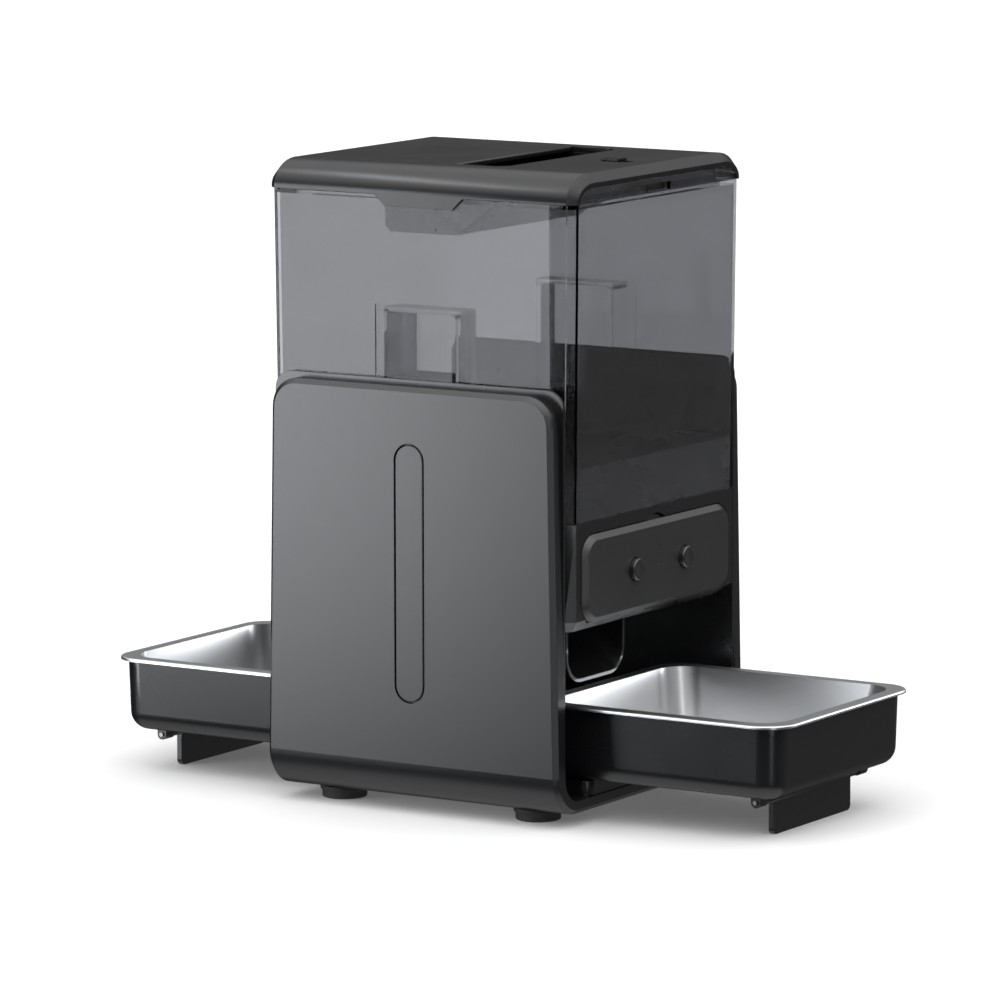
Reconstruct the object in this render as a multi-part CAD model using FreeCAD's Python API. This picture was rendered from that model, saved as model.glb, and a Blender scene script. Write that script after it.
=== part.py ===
import FreeCAD, Part
import math
import os

# Twin-bowl automatic pet feeder, millimetres.
# Origin: middle of the footprint on the surface it stands on.
# +X runs towards the bowl under the control panel, +Y towards the rear arm, +Z up.

V = FreeCAD.Vector

# cradle, the U that everything stands in
cradleHalfY = 90.8
armThick = 8.2
armBevel = 2.4
armTopRadius = 15.0
cradleTopZ = 213.2
cradleUnderZ = 6.3
cradleFloor = 6.7
cradleBend = 20.0
cradleFloorZ = cradleUnderZ + cradleFloor
armInnerY = cradleHalfY - armThick
linerThick = 1.8
linerOverTop = 2.5
linerOverSide = 2.4

# dosing housing under the tank
bodyHalfX = 86.7
bodyLinerGap = 1.1
bodyHalfY = armInnerY - linerThick - bodyLinerGap
bodyTopZ = 149.8
bodyHeight = 53.8
bodyBottomZ = bodyTopZ - bodyHeight
bodyLowerBevel = 6.0
bodyWall = 2.6
bodyEndWall = 5.5
bodyInnerHalfX = bodyHalfX - bodyEndWall
deckSkin = 2.6
deckUnderZ = bodyTopZ - deckSkin
coverSkin = 2.4
cornerChamfer = 4.4

# the cradle tapers to stay just inside the ends of the housing
cradleBottomHalfX = bodyHalfX - 1.4
cradleTopHalfX = bodyHalfX - 5.3
linerHalfX = cradleTopHalfX + linerOverSide
inlayWidth = 16.0
inlayLowZ = 57.0
inlayHighZ = cradleTopZ - 28.6
inlayThick = 2.2
inlayGap = 0.7

# general fits
running = 0.05
clear = 0.3
screwRadius = 1.5
screwPlay = 0.03

# lid and tank
totalHeight = 320.0
lidDepth = 14.0
lidEdgeZ = totalHeight - lidDepth
tankTopHalfX = bodyHalfX + 1.7
tankTopHalfY = bodyHalfY + 0.5
tankBottomZ = bodyTopZ + clear
tankWall = 2.2
lidHalfX = tankTopHalfX + 0.6
lidHalfY = tankTopHalfY + 1.4
lidRollY = 19.0
lidRollZ = 13.0
lidWall = 2.4
lidSkin = 3.0
lidEndBand = 2.3
tabTop, tabBottom, tabDrop = 51.0, 39.0, 5.8
shoulderZ = lidEdgeZ - clear
shelfWidth = 11.3
shelfHalfX = tankTopHalfX - shelfWidth
shelfHalfY = tankTopHalfY - shelfWidth
fingerHalfX, fingerDepth = 20.0, 14.0
fingerLowZ, fingerHighZ = cradleTopZ - 27.2, cradleTopZ + 35.1
fingerFrame, fingerStep = 6.4, 0.6
latchWindowHalfY = 11.0
latchWindowLowZ, latchWindowHighZ = lidEdgeZ + 0.4, lidEdgeZ + 4.3
funnelRimZ, funnelFloorZ = tankBottomZ + 25.9, tankBottomZ + 3.0
ribTopZ = funnelRimZ - 1.5

# inside the lid
lidPlateHalfX, lidPlateHalfY = tankTopHalfX - 7.4, tankTopHalfY - 8.5
lidPlateLowZ, lidPlateHighZ = lidEdgeZ + 4.8, lidEdgeZ + 6.8
pocketHalfX, pocketHalfY = 33.0, 54.5
plateEdgeX = 5.0
plateThick = 2.8
tubFloorZ = totalHeight - 35.0
tubSkin = 2.0
slotX0, slotX1, slotHalfY = 56.0, 73.0, 3.2
knobX, knobHalfX = 62.4, 5.4
knobProud = 1.6

# feet
footX, footY = bodyHalfX - 29.7, cradleHalfY - 28.1
footRadius = 11.3

# panels in the two end walls of the housing
panelHalfY = bodyHalfY - 12.4
panelLowZ, panelHighZ = bodyBottomZ + 6.7, bodyTopZ - 9.1
panelMiddleZ = (panelLowZ + panelHighZ) / 2
panelRadius = 8.0
panelRim = 2.7
panelThick = 3.8
panelGap = 0.5
panelProud = 2.5
panelBackX = bodyHalfX - panelThick
panelFaceX = bodyHalfX + panelProud
notchWidth, notchRise = 17.0, 2.6
buttonY, buttonZ = 23.8, panelMiddleZ
buttonRadius = 5.5
buttonProud = 2.8
ledZ, micZ, pinholeY = buttonZ + 8.8, buttonZ, 1.0
boardThick = 1.6
boardFaceX = panelBackX - 7.3
boardHalfY, boardHalfZ = 52.0, 15.5

# battery box for four AA cells
cellRadius, cellLength = 7.1, 50.3
boxWall = 1.8

# dosing drum, rotor and gears (axis along Y)
rotorRadius = 22.6
drumInner = rotorRadius + 0.8
drumWall = 2.2
rotorZ = deckUnderZ - drumInner - 1.8
drumHalfY = 21.7
drumEndPlate = 2.5
drumEndY = drumHalfY + drumEndPlate
throatHalfX = 17.6
shaftRadius = 3.0
bushRadius = 5.5
hubRadius = 7.5
vaneRootRadius = 17.0
vaneCount = 6
gearModule = 1.0
gearTeeth = 36
pinionTeeth = 12
gearY0, gearWidth = drumEndY + 3.0, 6.0
gearboxY0 = gearY0 + gearWidth + 1.6
gearboxRadius, gearboxLength = 17.0, 17.0

# chute
chuteHalfY = 28.0
chuteWall = 1.8
chuteMouthX = 52.0
chuteBottomRadius = 14.0

# bowls, holders and fold-down legs (right side; the left is mirrored)
bowlLength = 143.0
bowlInX = chuteMouthX + 2.0
bowlOutX = bowlInX + bowlLength
bowlHalfY = 69.0
bowlRimZ = 59.1
bowlRimRadius = 16.0
bowlRimWidth = 6.5
bowlLip = 1.6
bowlSheet = 1.0
bowlFloorZ = 24.2
bowlTaper = 6.0
bowlBelly = 12.0
holderInX, holderOutX = bowlInX + 3.5, bowlOutX - 4.0
holderHalfY = bowlHalfY - 4.0
holderBottomZ = bowlFloorZ - 3.3
holderTopZ = bowlRimZ - bowlSheet - 0.4
holderFloor = 2.5
holderWall = 2.4
holderRadius = 12.0
holderBelly = 9.5
holderDraft = 1.2
legX, legZ = holderOutX - 18.0, holderBottomZ - 2.6
legHalfY = 38.3
legThick = 2.8
legPinRadius = 1.1
knuckleRadius = 2.75
knuckleOut, knuckleLength = 53.6, 7.6
dockInX, dockOutX = holderInX - 21.5, cradleBottomHalfX - 0.9
dockHalfY = 60.0
tongueHalfY = 10.0
tongueDrop = 5.4
chuteLipZ = bowlRimZ + 1.2
chuteRidgeZ = bodyBottomZ - 4.0


# ---------------------------------------------------------------- helpers
def box(x0, x1, y0, y1, z0, z1):
    return Part.makeBox(x1 - x0, y1 - y0, z1 - z0, V(x0, y0, z0))


def rod(axis, x, y, z, radius, length):
    direction = {"X": V(1, 0, 0), "Y": V(0, 1, 0), "Z": V(0, 0, 1)}[axis]
    start = V(x, y, z) + direction * min(length, 0)
    return Part.makeCylinder(radius, abs(length), start, direction)


def point(plane, a, b, height):
    return {"XY": V(a, b, height), "XZ": V(a, height, b), "YZ": V(height, a, b)}[plane]


def roundedWire(plane, a0, a1, b0, b1, radius, height):
    # rectangle with round corners, drawn anticlockwise in the named plane
    bulge = radius * (1 - math.sqrt(0.5))
    sides = [((a0 + radius, b0), (a1 - radius, b0)), ((a1, b0 + radius), (a1, b1 - radius)),
             ((a1 - radius, b1), (a0 + radius, b1)), ((a0, b1 - radius), (a0, b0 + radius))]
    middles = [(a1 - bulge, b0 + bulge), (a1 - bulge, b1 - bulge),
               (a0 + bulge, b1 - bulge), (a0 + bulge, b0 + bulge)]
    edges = []
    for index, (start, end) in enumerate(sides):
        if math.dist(start, end) > 1e-6:
            edges.append(Part.makeLine(point(plane, *start, height), point(plane, *end, height)))
        if radius > 0:
            after = sides[(index + 1) % 4][0]
            arc = Part.Arc(point(plane, *end, height), point(plane, *middles[index], height),
                           point(plane, *after, height))
            edges.append(arc.toShape())
    return Part.Wire(edges)


def extruded(plane, wire, length):
    direction = {"XY": V(0, 0, length), "XZ": V(0, length, 0), "YZ": V(length, 0, 0)}[plane]
    return Part.Face(wire).extrude(direction)


def roundedBlock(plane, a0, a1, b0, b1, radius, h0, h1):
    return extruded(plane, roundedWire(plane, a0, a1, b0, b1, radius, h0), h1 - h0)


def polygon(plane, corners, h0, h1):
    points = [point(plane, a, b, h0) for a, b in corners]
    return extruded(plane, Part.makePolygon(points + points[:1]), h1 - h0)


def octagonWire(halfX, halfY, chamfer, z):
    corners = []
    for sx, sy in ((1, -1), (1, 1), (-1, 1), (-1, -1)):
        pair = [(sx * (halfX - chamfer), sy * halfY), (sx * halfX, sy * (halfY - chamfer))]
        corners += pair if sx * sy < 0 else pair[::-1]
    points = [V(x, y, z) for x, y in corners]
    return Part.makePolygon(points + points[:1])


def loft(*wires):
    return Part.makeLoft(list(wires), True, True)


def joined(shapes):
    result = shapes[0]
    for shape in shapes[1:]:
        result = result.fuse(shape)
    return result.removeSplitter()


def cutAll(shape, tools):
    for tool in tools:
        shape = shape.cut(tool)
    return shape


def mirroredX(shape):
    return shape.mirror(V(0, 0, 0), V(1, 0, 0))


def edgesOnBoth(solid, first, second):
    picked = []
    for edge in solid.Edges:
        middle = Part.Vertex(edge.valueAt((edge.FirstParameter + edge.LastParameter) / 2))
        if max(shape.Shells[0].distToShape(middle)[0] for shape in (first, second)) < 1e-4:
            picked.append(edge)
    return picked


def screw(axis, x, y, z, length, headRadius=3.0, headHeight=2.0, radius=screwRadius):
    # (x, y, z) is the seat of the head; a negative length points the shank the other way
    sign = math.copysign(1, length)
    step = {"X": V(1, 0, 0), "Y": V(0, 1, 0), "Z": V(0, 0, 1)}[axis] * sign
    head = Part.makeCylinder(headRadius, headHeight, V(x, y, z) - step * headHeight, step)
    shank = Part.makeCylinder(radius, abs(length), V(x, y, z), step)
    slot = box(-headRadius, headRadius, -0.4, 0.4, -0.4, 0.4)
    slot.rotate(V(0, 0, 0), V(0, 1, 0), 90 if axis == "X" else 0)
    slot.translate(V(x, y, z) - step * headHeight)
    return head.fuse(shank).cut(slot)


def save(name, shape):
    shape.exportStep("parts/" + name + ".step")
    print(name, len(shape.Solids), "solids, valid", shape.isValid(), round(shape.Volume / 1000, 2), "cm3")


# ---------------------------------------------------------------- cradle
def armScrewPlaces():
    return [(sy, z) for sy in (-1, 1) for z in (bodyBottomZ + 16.0, bodyBottomZ + 39.0)]


def inlayOutline(extra, y0, y1):
    half = inlayWidth / 2 + extra
    return roundedBlock("XZ", -half, half, inlayLowZ - extra, inlayHighZ + extra, half, y0, y1)


def cradleShell():
    height = cradleTopZ - cradleUnderZ
    outer = roundedBlock("YZ", -cradleHalfY, cradleHalfY, cradleUnderZ, cradleTopZ + 60, cradleBend,
                         -100, 100)
    inner = roundedBlock("YZ", -armInnerY, armInnerY, cradleFloorZ, cradleTopZ + 70,
                         cradleBend - armThick, -101, 101)
    reach = cradleTopHalfX - cradleBottomHalfX
    side = polygon("XZ", [(-cradleBottomHalfX + reach / height * 9, cradleUnderZ - 9),
                          (cradleBottomHalfX - reach / height * 9, cradleUnderZ - 9),
                          (cradleTopHalfX, cradleTopZ), (-cradleTopHalfX, cradleTopZ)], -100, 100)
    tops = [edge for edge in side.Edges
            if abs(edge.BoundBox.ZMin - cradleTopZ) < 1e-6 and edge.BoundBox.YLength > 100]
    side = side.makeFillet(armTopRadius, tops)
    shell = outer.common(side)
    shell = shell.makeChamfer(armBevel, edgesOnBoth(shell, outer, side))
    shell = shell.cut(inner)
    pocket = inlayThick + 0.1
    for sy in (-1, 1):
        face = sy * cradleHalfY
        depths = sorted((face, face - sy * pocket))
        shell = shell.cut(inlayOutline(inlayGap, *depths))
    seatDepth = pocket + 2.2
    for sy, z in armScrewPlaces():
        shell = shell.cut(rod("Y", 0, sy * cradleHalfY, z, 3.3, -sy * seatDepth))
        shell = shell.cut(rod("Y", 0, sy * cradleHalfY, z, screwRadius + 0.2, -sy * (armThick + 1)))
    for x, y in footPlaces():
        shell = shell.cut(rod("Z", x, y, cradleUnderZ - 1, screwRadius + screwPlay, 5.5))
    return shell


def inlay(sy):
    face = sy * cradleHalfY
    inside = face - sy * inlayThick
    plate = inlayOutline(0, min(face, inside), max(face, inside))
    rim = [edge for edge in plate.Edges if abs(edge.BoundBox.YMin - face) < 1e-6 and
           abs(edge.BoundBox.YMax - face) < 1e-6]
    return plate.makeChamfer(0.35, rim)


def liner(sy):
    y0, y1 = sorted((sy * armInnerY, sy * (armInnerY - linerThick)))
    plate = roundedBlock("XZ", -linerHalfX, linerHalfX, cradleFloorZ + 13,
                         cradleTopZ + linerOverTop, 9, y0, y1)
    return cutAll(plate, [rod("Y", 0, y0 - 1, z, 4.5, 5) for side, z in armScrewPlaces() if side == sy])


def armScrews():
    seat = cradleHalfY - inlayThick - 2.3
    return Part.makeCompound([screw("Y", 0, sy * seat, z, -sy * 12.0) for sy, z in armScrewPlaces()])


def footPlaces():
    return [(sx * footX, sy * footY) for sx in (-1, 1) for sy in (-1, 1)]


def foot(x, y):
    pad = rod("Z", x, y, 0, footRadius, 4.1)
    pad = pad.makeFillet(0.9, [edge for edge in pad.Edges if edge.BoundBox.ZMax < 0.01 and edge.Closed])
    collar = rod("Z", x, y, 4.1, footRadius + 0.9, cradleUnderZ - 4.1)
    well = rod("Z", x, y, -1, 4.2, 4.2)
    return pad.fuse(collar).cut(well).cut(rod("Z", x, y, 0, screwRadius + 0.15, 10)).removeSplitter()


def feet():
    return Part.makeCompound([foot(x, y) for x, y in footPlaces()])


def footScrews():
    return Part.makeCompound([screw("Z", x, y, 3.2, 7.0, 3.2, 1.9) for x, y in footPlaces()])


# ---------------------------------------------------------------- housing
def panelOutline(grow, x0, x1):
    radius = panelRadius + max(grow, 0)
    return roundedBlock("YZ", -panelHalfY - grow, panelHalfY + grow, panelLowZ - grow,
                        panelHighZ + grow, radius, x0, x1)


def thumbDisc(edgeZ, upwards, shrink, x0, x1):
    # round lobe standing notchRise beyond a long edge of the panel
    rise = notchRise - shrink
    radius = (notchWidth ** 2 / 4 + notchRise ** 2) / (2 * notchRise)
    centre = edgeZ + (rise - radius) * (1 if upwards else -1)
    return rod("X", x0, 0, centre, radius, x1 - x0)


def thumbNotches(shrink, x0, x1):
    grown = panelRim + panelGap
    discs = [thumbDisc(panelHighZ + grown, True, shrink, x0, x1),
             thumbDisc(panelLowZ - grown, False, shrink + 0.8, x0, x1)]
    trims = [box(x0, x1, -40, 40, panelHighZ, panelHighZ + 20),
             box(x0, x1, -40, 40, panelLowZ - 20, panelLowZ)]
    return [disc.common(trim) for disc, trim in zip(discs, trims)]


def windowBox():
    # opening behind each end panel, with a ledge left all round for the panel to sit on
    halfY = panelHalfY - 7.7
    return box(bodyInnerHalfX - 1, bodyHalfX, -halfY, halfY, panelLowZ + 3.4, panelHighZ - 3.4)


def coverPosts():
    return [(sx * (bodyHalfX - 26.7), sy * (bodyHalfY - 16.7)) for sx in (-1, 1) for sy in (-1, 1)]


def housingShell():
    low, high = bodyBottomZ, bodyTopZ
    lowRing = octagonWire(bodyHalfX - bodyLowerBevel, bodyHalfY - bodyLowerBevel, cornerChamfer, low)
    waist = octagonWire(bodyHalfX, bodyHalfY, cornerChamfer, low + bodyLowerBevel)
    highRing = octagonWire(bodyHalfX, bodyHalfY, cornerChamfer, high)
    outer = joined([loft(lowRing, waist), loft(waist, highRing)])
    innerY = bodyHalfY - bodyWall
    cavity = box(-bodyInnerHalfX, bodyInnerHalfX, -innerY, innerY, low + bodyLowerBevel + 1,
                 high - deckSkin)
    mouthX, mouthY = bodyHalfX - bodyLowerBevel - 3.6, bodyHalfY - bodyLowerBevel - 3.6
    mouth = box(-mouthX, mouthX, -mouthY, mouthY, low - 1, low + bodyLowerBevel + 2)
    shell = outer.cut(cavity.fuse(mouth))
    posts = [rod("Z", x, y, low + coverSkin, 3.6, deckUnderZ - low - coverSkin + 0.5)
             for x, y in coverPosts()]
    bosses = [rod("Y", 0, sy * armInnerY, z, 4.2, -sy * 13.0) for sy, z in armScrewPlaces()]
    shell = joined([shell] + posts + bosses)
    holes = [rod("Z", x, y, low, screwRadius + screwPlay, 12) for x, y in coverPosts()]
    holes += [rod("Y", 0, sy * (armInnerY + 1), z, screwRadius + screwPlay, -sy * 16.0)
              for sy, z in armScrewPlaces()]
    throat = box(-throatHalfX, throatHalfX, -drumHalfY, drumHalfY, high - deckSkin - 1, high + 1)
    shell = cutAll(shell, holes + [throat])
    for mirrored in (False, True):
        recess = [panelOutline(panelRim + panelGap, panelBackX, bodyHalfX + 1)]
        recess += thumbNotches(0, panelBackX, bodyHalfX + 1)
        recess.append(windowBox())
        shell = cutAll(shell, [mirroredX(tool) if mirrored else tool for tool in recess])
    return shell


def endPanel(backX):
    # plate that stands proud of the end wall, with a chamfered rim
    rimX = panelFaceX - panelRim
    grow = panelRim
    base = panelOutline(grow, backX, rimX)
    inner = roundedWire("YZ", -panelHalfY - grow, panelHalfY + grow, panelLowZ - grow, panelHighZ + grow,
                        panelRadius + grow, rimX)
    face = roundedWire("YZ", -panelHalfY, panelHalfY, panelLowZ, panelHighZ, panelRadius, panelFaceX)
    tabs = thumbNotches(0.8, backX, bodyHalfX - 1.6)
    return joined([base, loft(inner, face)] + tabs)


def boardPosts():
    return [(sy * (boardHalfY - 5.0), panelMiddleZ + dz) for sy in (-1, 1) for dz in (-11.0, 11.0)]


def controlPanel():
    posts = [rod("X", boardFaceX, y, z, 2.6, panelBackX - boardFaceX + 0.5) for y, z in boardPosts()]
    panel = joined([endPanel(panelBackX)] + posts)
    holes = [rod("X", boardFaceX - 1, y, z, 1.0 + screwPlay, 8) for y, z in boardPosts()]
    holes += [rod("X", panelBackX - 1, sy * buttonY, buttonZ, buttonRadius + 0.35, 12) for sy in (-1, 1)]
    holes += [rod("X", panelBackX - 1, pinholeY, z, 0.65, 12) for z in (ledZ, micZ)]
    return cutAll(panel, holes)


def batteryDoor():
    rows = [panelMiddleZ + 2.4 * row for row in (-1, 0, 1)]
    grips = [box(-panelFaceX - 1, -panelFaceX + 0.6, -9, 9, z - 0.6, z + 0.6) for z in rows]
    return cutAll(mirroredX(endPanel(panelBackX + clear)), grips)


def housingCover():
    low = bodyBottomZ
    mouthX, mouthY = bodyHalfX - bodyLowerBevel - 3.9, bodyHalfY - bodyLowerBevel - 3.9
    plate = box(-mouthX, mouthX, -mouthY, mouthY, low, low + coverSkin)
    neckX, neckY = throatHalfX + drumWall + clear, drumEndY + clear
    cuts = [box(-neckX, neckX, -neckY, neckY, low - 1, low + 5)]
    for x, y in coverPosts():
        cuts.append(rod("Z", x, y, low - 1, screwRadius + 0.15, 5))
        cuts.append(rod("Z", x, y, low - 1, 3.2, 2.3))
    speakerX, speakerY = speakerPlace()
    for ring, count in ((0, 1), (4.5, 6), (9.0, 12)):
        for step in range(count):
            turn = 2 * math.pi * step / count
            cuts.append(rod("Z", speakerX + ring * math.cos(turn), speakerY + ring * math.sin(turn),
                            low - 1, 1.1, 5))
    inletX, inletY = inletPlace()
    cuts.append(box(inletX - 6.2, inletX + 6.2, inletY - 5.2, inletY + 5.2, low - 1, low + 5))
    return cutAll(plate, cuts)


def coverScrews():
    seat = bodyBottomZ + 1.3
    return Part.makeCompound([screw("Z", x, y, seat, 10.0, 2.9, 1.2) for x, y in coverPosts()])


# ---------------------------------------------------------------- electronics
def speakerPlace():
    return 48.0, -46.0


def inletPlace():
    return -32.0, 46.0


def speaker():
    x, y = speakerPlace()
    z = bodyBottomZ + coverSkin
    frame = rod("Z", x, y, z, 14.0, 3.0).fuse(rod("Z", x, y, z + 3.0, 8.0, 4.0))
    return frame.cut(rod("Z", x, y, z - 1, 12.6, 2.2)).removeSplitter()


def powerInlet():
    x, y = inletPlace()
    low = bodyBottomZ
    body = box(x - 6, x + 6, y - 5, y + 5, low, low + 13)
    socket = rod("Z", x, y, low - 1, 3.1, 10)
    pin = rod("Z", x, y, low + 1.5, 0.9, 9)
    return body.cut(socket).fuse(pin).removeSplitter()


def circuitBoard():
    back = boardFaceX - boardThick
    board = box(back, boardFaceX, -boardHalfY, boardHalfY, panelMiddleZ - boardHalfZ,
                panelMiddleZ + boardHalfZ)
    chips = []
    for height, y, z, long, wide in ((1.6, -2, -4, 12, 12), (1.2, 18, -3, 8, 6), (3.0, -30, 0, 8, 8),
                                     (3.5, 34, -9, 10, 6)):
        middleZ = panelMiddleZ + z
        chips.append(box(back - height, back, y - long / 2, y + long / 2, middleZ - wide / 2,
                         middleZ + wide / 2))
    board = joined([board] + chips)
    return cutAll(board, [rod("X", back - 2, y, z, 1.2, 5) for y, z in boardPosts()])


def boardScrews():
    return Part.makeCompound([screw("X", boardFaceX - boardThick, y, z, 6.0, 2.0, 1.3, 1.0)
                              for y, z in boardPosts()])


def tactSwitches():
    switches = []
    for sy in (-1, 1):
        y = sy * buttonY
        case = box(boardFaceX, boardFaceX + 0.7, y - 3, y + 3, buttonZ - 3, buttonZ + 3)
        switches.append(joined([case, rod("X", boardFaceX + 0.6, y, buttonZ, 1.7, 0.5)]))
    return Part.makeCompound(switches)


def microphone():
    return rod("X", boardFaceX, pinholeY, micZ, 2.3, panelBackX - boardFaceX)


def statusLight():
    pipe = rod("X", boardFaceX, pinholeY, ledZ, 1.5, panelBackX - boardFaceX)
    return joined([pipe, rod("X", panelBackX - 0.5, pinholeY, ledZ, 0.6, panelFaceX - panelBackX)])


def cellRows():
    return [panelMiddleZ - cellRadius - 1.5, panelMiddleZ + cellRadius + 1.5]


def cellX():
    return -(bodyInnerHalfX - cellRadius - 8.1)


def batteryBox():
    x0, x1 = -(bodyInnerHalfX - 0.2), cellX() + cellRadius + 8.9
    halfY, halfZ = cellLength + 5.7, 2 * cellRadius + 3.8
    outer = box(x0, x1, -halfY, halfY, panelMiddleZ - halfZ, panelMiddleZ + halfZ)
    inside = box(x0 - 1, x1 - boxWall, -halfY + boxWall, halfY - boxWall,
                 panelMiddleZ - halfZ + boxWall, panelMiddleZ + halfZ - boxWall)
    leadHole = box(x1 - boxWall - 1, x1 + 1, -6, 6, panelMiddleZ - 4, panelMiddleZ + 4)
    return cutAll(outer, [inside, leadHole])


def batteryCells():
    cells = []
    for sy in (-1, 1):
        for z in cellRows():
            start = 26.2 * sy - cellLength / 2 + 0.55
            body = rod("Y", cellX(), start, z, cellRadius, cellLength - 1.1)
            cells.append(joined([body, rod("Y", cellX(), start + cellLength - 1.1, z, 2.7, 1.1)]))
    return Part.makeCompound(cells)


def batteryContacts():
    plates = []
    endY = cellLength + 3.9
    for sy in (-1, 1):
        for z in cellRows():
            y0, y1 = sorted((sy * (endY - 0.8), sy * endY))
            plate = box(cellX() - 6, cellX() + 6, y0, y1, z - 6, z + 6)
            plates.append(joined([plate, rod("Y", cellX(), sy * (endY - 1.8), z, 2.2, sy * 1.4)]))
    return Part.makeCompound(plates)


# ---------------------------------------------------------------- dosing drum
def dosingDrum():
    tube = rod("Y", 0, -drumEndY, rotorZ, drumInner + drumWall, 2 * drumEndY)
    neckX = throatHalfX + drumWall
    neck = box(-neckX, neckX, -drumEndY, drumEndY, bodyBottomZ, deckUnderZ)
    hollow = rod("Y", 0, -drumHalfY, rotorZ, drumInner, 2 * drumHalfY)
    passage = box(-throatHalfX, throatHalfX, -drumHalfY, drumHalfY, bodyBottomZ - 1, bodyTopZ)
    bores = [rod("Y", 0, sy * (drumHalfY - 1), rotorZ, bushRadius, sy * 6) for sy in (-1, 1)]
    body = tube.fuse(neck).common(box(-40, 40, -drumEndY, drumEndY, 0, deckUnderZ))
    return cutAll(body, [hollow.fuse(passage)] + bores)


def shaftBushes():
    bushes = []
    for sy in (-1, 1):
        sleeve = rod("Y", 0, sy * drumHalfY, rotorZ, bushRadius - screwPlay, sy * (drumEndPlate + 1.7))
        collar = rod("Y", 0, sy * (drumEndY + 0.01), rotorZ, bushRadius + 1.5, sy * 1.6)
        bore = rod("Y", 0, sy * (drumHalfY - 3), rotorZ, shaftRadius + running, sy * 10)
        bushes.append(sleeve.fuse(collar).cut(bore))
    return Part.makeCompound(bushes)


def rotorShaft():
    start = -drumEndY - 3.3
    return rod("Y", 0, start, rotorZ, shaftRadius, gearY0 + gearWidth + 1.1 - start)


def aroundRotor(shape, index):
    shape.rotate(V(0, 0, 0), V(0, 1, 0), 360 / vaneCount * (index + 0.5))
    shape.translate(V(0, 0, rotorZ))
    return shape


def rotorWheel():
    halfY = drumHalfY - 0.7
    hub = rod("Y", 0, -halfY, rotorZ, hubRadius, 2 * halfY)
    arms = [aroundRotor(box(-1.25, 1.25, -halfY, halfY, hubRadius - 1, vaneRootRadius), index)
            for index in range(vaneCount)]
    return joined([hub] + arms).cut(rod("Y", 0, -halfY - 1, rotorZ, shaftRadius + screwPlay, 2 * halfY + 2))


def vaneTips():
    halfY = drumHalfY - 0.9
    return Part.makeCompound([aroundRotor(box(-0.9, 0.9, -halfY, halfY, vaneRootRadius, rotorRadius), index)
                              for index in range(vaneCount)])


def gearWheel(teeth, phase, bore):
    # involute flanks at 20 degrees, thinned a little for backlash
    pitch = gearModule * teeth / 2
    base = pitch * math.cos(math.radians(20))
    tip, root = pitch + 0.95 * gearModule, pitch - 1.2 * gearModule
    thin = 0.10 / pitch

    def involute(radius):
        angle = math.acos(base / radius) if radius > base else 0
        return math.tan(angle) - angle

    half = math.pi / (2 * teeth) + involute(pitch) - thin
    start = max(base, root)
    radii = [start + (tip - start) * step / 5 for step in range(6)]
    corners = []
    for tooth in range(teeth):
        middle = 2 * math.pi * tooth / teeth + phase
        flank = [(radius, half - involute(radius)) for radius in radii]
        foot = [(root, half)] if root < start else []
        for radius, offset in foot + flank:
            corners.append((radius * math.cos(middle - offset), radius * math.sin(middle - offset)))
        for radius, offset in reversed(foot + flank):
            corners.append((radius * math.cos(middle + offset), radius * math.sin(middle + offset)))
    wheel = polygon("XZ", corners, gearY0, gearY0 + gearWidth)
    return wheel.cut(rod("Y", 0, gearY0 - 1, 0, bore, gearWidth + 2))


def driveGear():
    wheel = gearWheel(gearTeeth, 0.0, shaftRadius + screwPlay)
    windows = [rod("Y", 10.5 * math.cos(turn), gearY0 - 1, 10.5 * math.sin(turn), 3.2, gearWidth + 2)
               for turn in [2 * math.pi * (index + 0.5) / 5 for index in range(5)]]
    wheel = cutAll(wheel, windows)
    wheel.translate(V(0, 0, rotorZ))
    return wheel


def pinionX():
    return gearModule * (gearTeeth + pinionTeeth) / 2


def motorPinion():
    wheel = gearWheel(pinionTeeth, math.pi + math.pi / pinionTeeth, 2.0 + screwPlay)
    wheel.translate(V(pinionX(), 0, rotorZ))
    return wheel


def motorShaft():
    return rod("Y", pinionX(), gearY0, rotorZ, 2.0, 16.0)


def gearbox():
    case = rod("Y", pinionX(), gearboxY0, rotorZ, gearboxRadius, gearboxLength)
    case = joined([case, rod("Y", pinionX(), gearboxY0 - 1.0, rotorZ, 6.0, 2.0)])
    return case.cut(rod("Y", pinionX(), gearboxY0 - 3, rotorZ, 2.0 + running, 13))


def motorCan():
    start, length = gearboxY0 + gearboxLength, 20.0
    can = rod("Y", pinionX(), start, rotorZ, 12.0, length)
    back = [edge for edge in can.Edges if edge.Closed and edge.BoundBox.YMin > start + length - 0.01]
    return joined([can.makeFillet(1.5, back), rod("Y", pinionX(), start + length - 1, rotorZ, 3.5, 2.5)])


def motorBracket():
    x, y0 = pinionX(), gearboxY0 + 2.0
    block = box(x - 14, x + 14, y0, y0 + 12, rotorZ + 6, deckUnderZ)
    return block.cut(rod("Y", x, y0 - 1, rotorZ, gearboxRadius + screwPlay, 14))


# ---------------------------------------------------------------- chute
def chuteSide(inset):
    # U-shaped channel that slopes from the ridge down to its mouth
    half = chuteHalfY - inset
    radius = chuteBottomRadius - inset
    slope = (chuteLipZ - chuteRidgeZ) / chuteMouthX
    reach = chuteMouthX + 30
    ridge = chuteRidgeZ + inset / math.cos(math.atan(slope))
    channel = Part.Face(roundedWire("YZ", -half, half, ridge, ridge + 120, radius, 0))
    channel = channel.extrude(V(reach, 0, reach * slope))
    over = 1 if inset else 0
    return channel.common(box(0, chuteMouthX + over, -60, 60, 0, bodyBottomZ + over))


def chuteSplitter():
    side, hollow = chuteSide(0), chuteSide(chuteWall)
    flange = box(-26, 26, -chuteHalfY - 7, chuteHalfY + 7, bodyBottomZ - 2.2, bodyBottomZ)
    body = joined([side, mirroredX(side), flange])
    return body.cut(joined([hollow, mirroredX(hollow)]))


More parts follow.
